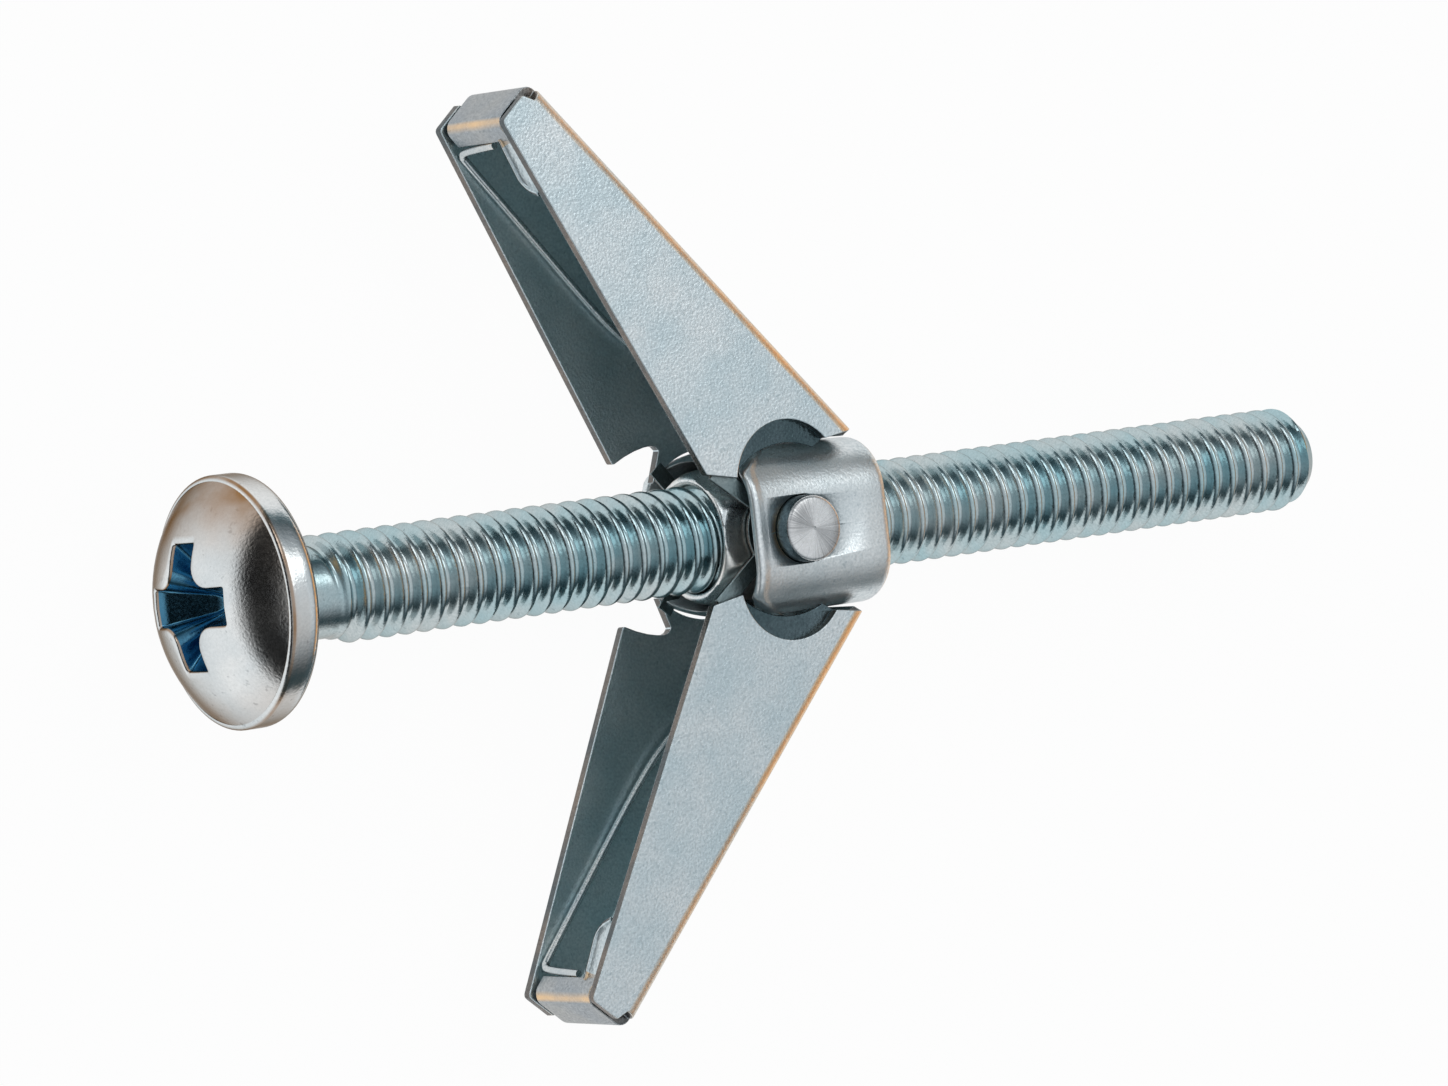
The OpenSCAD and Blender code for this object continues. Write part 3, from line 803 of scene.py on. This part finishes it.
def makeWing(name, side, node):
    # inner faces of the sheet take the painted-light copy of the zinc
    made = pressed(name, side, wingSkin, wing["sheet"], wing["edgeRound"], -1, wingZinc, insidePaintedLightZinc)
    others = [
        pressed(name + "Ears", side, earSkin, wing["earSheet"], wing["earRound"], -1, shadeZinc, shadeZinc),
        # the lug is coloured with painted deep shade
        pressed(name + "Lug", side, lugSkin, wing["lugSheet"], wing["lugRound"], -1, paintedDeepShadeZinc, paintedDeepShadeZinc),
        pressed(name + "Tab", side, tabSkin, wing["tabSheet"], wing["tabRound"], 0, wingZinc, wingZinc),
    ]
    with bpy.context.temp_override(active_object=made, selected_editable_objects=[made] + others):
        bpy.ops.object.join()
    slots = [m.name for m in made.data.materials]
    made.data.materials.append(capZinc)
    c, s = math.cos(webAngle), math.sin(webAngle)
    toWeb = Vector((s, -side * c, 0))
    for p in made.data.polygons:
        along = (p.center.x / mm - hingeX) * c + abs(p.center.y) / mm * s
        onCap = abs(p.center.z / mm - side * wing["shift"]) < wing["tipHalf"] - wing["bend"] + 0.05
        if along > wing["length"] - wing["lip"] - 0.3 and onCap and p.material_index == 0:
            p.material_index = len(slots)  # the cap over the tip
        elif p.material_index == 1 and p.normal.dot(toWeb) < -0.7:
            p.material_index = slots.index("shadeZinc")  # the shaded floor of the channel
    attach(made, node)
    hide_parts(node)
    return made


leftWing = makeWing("leftWing", 1, "left_wing")
rightWing = makeWing("rightWing", -1, "right_wing")
print("wings:", len(leftWing.data.polygons), "faces each")

# Wire spring: a coil in the band and a leg in each channel
spring = {
    "wireR": 0.23, "gap": 0.1, "turns": 2, "pitch": 0.75, "turnSteps": 40, "sides": 14,
    "legRoot": 1.0, "legTo": 28.2, "tipV": 3.75, "hook": 3.4,
    "crossing": [(4, 0.06), (7, 0.3), (10, 0.7), (13, 0.94), (16, 1), (20, 1), (24, 1)],
}


def sweep(path, r, sides):
    rings = []
    points = [Vector(p) for p in path]
    side = None
    for i, p in enumerate(points):
        along = (points[min(i + 1, len(points) - 1)] - points[max(i - 1, 0)]).normalized()
        if side is None:
            side = along.orthogonal().normalized()
        side = (side - along * side.dot(along)).normalized()
        other = along.cross(side)
        turn = [2 * math.pi * k / sides for k in range(sides)]
        rings.append([tuple(p + (side * math.cos(a) + other * math.sin(a)) * r) for a in turn])
    return rings


def smoothPath(points, steps=6):
    # a smooth line through the points
    pts = [Vector(p) for p in points]
    made = []
    for i in range(len(pts) - 1):
        p0, p1, p2, p3 = pts[max(i - 1, 0)], pts[i], pts[i + 1], pts[min(i + 2, len(pts) - 1)]
        for k in range(steps):
            t = k / steps
            made.append(0.5 * (2 * p1 + (p2 - p0) * t + (2 * p0 - 5 * p1 + 4 * p2 - p3) * t * t
                               + (3 * p1 - p0 - 3 * p2 + p3) * t ** 3))
    return made + [pts[-1]]


coilR = screw["threadR"] + spring["gap"] + spring["wireR"]
coilX = hingeX + nut["back"] + spring["gap"] + spring["wireR"]


def legPath(side):
    # leaves the coil through the band, crosses to the open side and runs to the tip along the rear flange
    def rear(u):
        return -(halfWidth(u) - wing["sheet"] - side * wing["shift"]) + spring["wireR"] + spring["gap"]

    def point(u, v, z):
        x, y, _ = placeWing((u, v, 0), side)
        return (x, y, z)

    webV = wing["reach"] - wing["sheet"] - spring["wireR"] - spring["gap"]
    path = [(coilX + (0 if side > 0 else spring["pitch"] * spring["turns"]), 0, -coilR)]
    path.append(point(spring["legRoot"], webV, -coilR))
    tip = spring["legTo"]
    for u, share in spring["crossing"] + [(tip - 0.9, 1)]:
        path.append(point(u, mix(webV, spring["tipV"], share), max(rear(u), -coilR)))
    path.append(point(tip - 0.2, spring["tipV"], rear(tip) + 0.15))
    path.append(point(tip, spring["tipV"] + 0.1, rear(tip) + 0.75))
    path.append(point(tip + 0.05, spring["tipV"] + 0.3, rear(tip) + spring["hook"]))
    return path


coil = Solid()
turnSteps, coilLength = spring["turnSteps"] * spring["turns"], spring["pitch"] * spring["turns"]
coilPath = []
for i in range(turnSteps + 1):
    a = math.radians(-90 - 360 * spring["turns"] * i / turnSteps)
    coilPath.append((coilX + coilLength * i / turnSteps, coilR * math.cos(a), coilR * math.sin(a)))
coil.loft(sweep(coilPath, spring["wireR"], spring["sides"]), capFirst=True, capLast=True)
springCoil = coil.piece("springCoil", [springWire])
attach(springCoil, "hub")
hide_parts("wire_spring")
for side, name in ((1, "left"), (-1, "right")):
    path = legPath(side)
    leg = Solid()
    leg.loft(sweep(smoothPath(path), spring["wireR"], spring["sides"]), capFirst=True, capLast=True)
    springLeg = leg.piece(name + "SpringLeg", [springWire])
    [c * mm for c in path[0]]
    [c * mm for c in path[3]]
    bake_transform(springLeg)
print("spring made")

# Stage: white floor, soft lamps, two cards and the camera
stage = {
    "cameraRight": (0.80727, -0.10835, 0.58015), "cameraUp": (0.11153, 0.9933, 0.03032),
    "cameraBack": (-0.57955, 0.04023, 0.81394), "viewShift": (-26.3409, -3.1511, -391.6825),
    "focalPixels": 6989.17, "imageWidth": 1448, "sensor": 36.0,
    "floorHalf": 4.0, "floorDrop": 0.02, "floorGlow": 0.96, "cardLift": 0.3,
}
studio = {  # the world's tones go from the horizon to overhead
    "tones": [(0.0, (0.96, 0.96, 0.96)), (0.085, (0.94, 0.95, 0.95)), (0.13, (0.1, 0.17, 0.19)),
              (0.3, (0.07, 0.09, 0.1)), (0.5, (0.3, 0.33, 0.35)), (0.72, (0.66, 0.69, 0.71)), (1.0, (0.8, 0.82, 0.84))],
    "warm": (1.0, 0.52, 0.2), "warmTo": 0.45, "warmAhead": (0.72, 0.95),
    "headCard": (0.012, 0.012, 0.012), "lowCard": (0.05, 0.08, 0.09),
}
lamps = {
    "keyLamp": {"place": (0.25, 0.3, 0.6), "aim": (0.03, 0, 0), "size": 0.35, "power": 0.5,
                "colour": (1.0, 0.99, 0.97)},
    "sideLamp": {"place": (-0.35, 0.4, 0.3), "aim": (0.02, 0, 0), "size": 0.25, "power": 0.35,
                 "colour": (1.0, 1.0, 1.0)},
}


def makeCamera():
    rows = Matrix([stage["cameraRight"], stage["cameraUp"], stage["cameraBack"]])
    place = -(rows.transposed() @ Vector(stage["viewShift"])) * mm
    data = bpy.data.cameras.new("camera")
    data.sensor_width = stage["sensor"]
    data.lens = stage["focalPixels"] * stage["sensor"] / stage["imageWidth"]
    data.clip_start, data.clip_end = 0.01, 20
    made = bpy.data.objects.new("camera", data)
    bpy.context.scene.collection.objects.link(made)
    made.matrix_world = Matrix.Translation(place) @ rows.transposed().to_4x4()
    bpy.context.scene.camera = made


def makeFloor():
    half, drop = stage["floorHalf"] / mm, cadLow.z / mm - stage["floorDrop"]
    plane = Solid()
    plane.face([(-half, -half, drop), (half, -half, drop), (half, half, drop), (-half, half, drop)])
    white = bpy.data.materials.new("whiteFloor")
    white.use_nodes = True
    tree = white.node_tree
    tree.nodes.clear()
    start = Wire(tree)
    kinds = ("Is Camera Ray", "Is Glossy Ray", "Is Transmission Ray")
    rays = [start.node("ShaderNodeLightPath", out=k) for k in kinds]
    seen = rays[0].math("MAXIMUM", rays[1]).math("MAXIMUM", rays[2])
    matt = start.node("ShaderNodeBsdfDiffuse", {}, {"Color": (0.8, 0.8, 0.8, 1)})
    glow = start.node("ShaderNodeEmission", {}, {"Color": (1, 1, 1, 1), "Strength": 1.0})
    both = start.node("ShaderNodeMixShader", {}, {0: seen * stage["floorGlow"], 1: matt, 2: glow})
    start.node("ShaderNodeOutputMaterial", {}, {"Surface": both})
    plane.piece("floor", [white])


def card(name, corners, span):
    # a card beside the part, seen in reflections and not by the camera, that fades from white upwards
    sheet = Solid()
    sheet.face(corners)
    finish = bpy.data.materials.new(name)
    finish.use_nodes = True
    tree = finish.node_tree
    tree.nodes.clear()
    start = Wire(tree)
    up = split(start.node("ShaderNodeTexCoord", out=0))[2]
    shade = up.ramp(*span).blend((1, 1, 1), studio[name])
    glow = start.node("ShaderNodeEmission", {}, {"Color": shade, "Strength": 1.0})
    start.node("ShaderNodeOutputMaterial", {}, {"Surface": glow})
    made = sheet.piece(name, [finish])
    made.visible_camera = made.visible_shadow = made.visible_diffuse = False


def areaLamp(name, lamp):
    data = bpy.data.lights.new(name, "AREA")
    data.shape = "RECTANGLE"
    data.size = data.size_y = lamp["size"]
    data.energy = lamp["power"]
    data.color = lamp["colour"]
    made = bpy.data.objects.new(name, data)
    bpy.context.scene.collection.objects.link(made)
    made.location = lamp["place"]
    aim = Vector(lamp["aim"]) - Vector(lamp["place"])
    made.rotation_euler = aim.to_track_quat("-Z", "Y").to_euler()


def makeWorld():
    world = bpy.data.worlds.new("studio")
    world.use_nodes = True
    bpy.context.scene.world = world
    tree = world.node_tree
    tree.nodes.clear()
    start = Wire(tree)
    ahead, across, up = split(start.node("ShaderNodeTexCoord", out=0))
    tone = up.node("ShaderNodeValToRGB", {"stops": studio["tones"]}, {0: up})
    warm = ahead.ramp(*studio["warmAhead"]) * (1 - up.ramp(studio["warmTo"] * 0.5, studio["warmTo"]))
    tone = warm.blend(tone, studio["warm"])
    light = start.node("ShaderNodeBackground", {}, {"Color": tone, "Strength": 1.0})
    start.node("ShaderNodeOutputWorld", {}, {"Surface": light})


makeCamera()
makeFloor()
makeWorld()
low = cadLow.z / mm + stage["cardLift"]
card("headCard", [(-62, -90, -5), (-62, 90, -5), (-62, 90, 42), (-62, -90, 42)], (0.05, 0.3))
card("lowCard", [(-60, -95, low), (170, -95, low), (170, -95, 34), (-60, -95, 34)], (0.0, 0.3))
for name, lamp in lamps.items():
    areaLamp(name, lamp)
bpy.context.scene.view_settings.view_transform = "Standard"
print("stage set")
